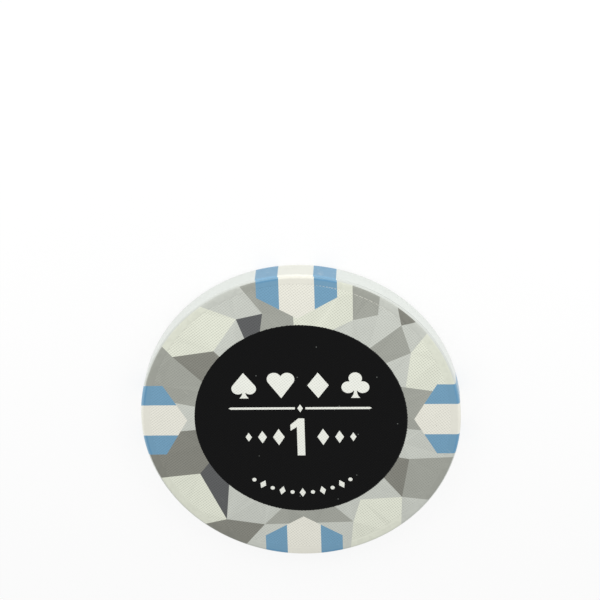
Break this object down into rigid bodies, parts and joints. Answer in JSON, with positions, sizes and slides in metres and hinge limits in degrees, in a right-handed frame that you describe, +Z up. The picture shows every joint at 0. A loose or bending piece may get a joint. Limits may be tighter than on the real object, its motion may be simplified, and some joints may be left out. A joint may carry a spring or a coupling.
{
  "type": "poker chip",
  "caption": "Round ceramic poker chip with a rounded rim, blue and white edge spots, a grey mosaic ring and a black centre with a plain numeral.",
  "frame": {"origin": "middle of the underside, on the surface that the chip lies on", "axes": "+Z up through the chip, from the reverse to the obverse; +Y towards the top of the picture on both faces; +X to the right on the obverse"},
  "size_m": [0.039, 0.039, 0.0033],
  "materials": {
    "white": "satin",
    "edge_grey": "satin",
    "blue": "satin",
    "black": "satin",
    "light_grey": "satin",
    "pale": "satin",
    "mid_grey": "satin",
    "dark_grey": "satin",
    "slate": "satin"
  },
  "bodies": {
    "root": {"blank": "white", "edge_band_1": "edge_grey", "edge_band_2": "edge_grey", "edge_band_3": "edge_grey", "edge_band_4": "edge_grey", "edge_spot_1_blue_left": "blue", "edge_spot_1_blue_right": "blue", "edge_spot_2_blue_left": "blue", "edge_spot_2_blue_right": "blue", "edge_spot_3_blue_left": "blue", "edge_spot_3_blue_right": "blue", "edge_spot_4_blue_left": "blue", "edge_spot_4_blue_right": "blue", "obverse_black_centre": "black", "obverse_mosaic_light_grey": "light_grey", "obverse_mosaic_pale": "pale", "obverse_mosaic_mid_grey": "mid_grey", "obverse_mosaic_dark_grey": "dark_grey", "obverse_mosaic_slate": "slate", "reverse_black_centre": "black", "reverse_mosaic_light_grey": "light_grey", "reverse_mosaic_pale": "pale", "reverse_mosaic_mid_grey": "mid_grey", "reverse_mosaic_dark_grey": "dark_grey", "reverse_mosaic_slate": "slate"}
  },
  "joints": []
}
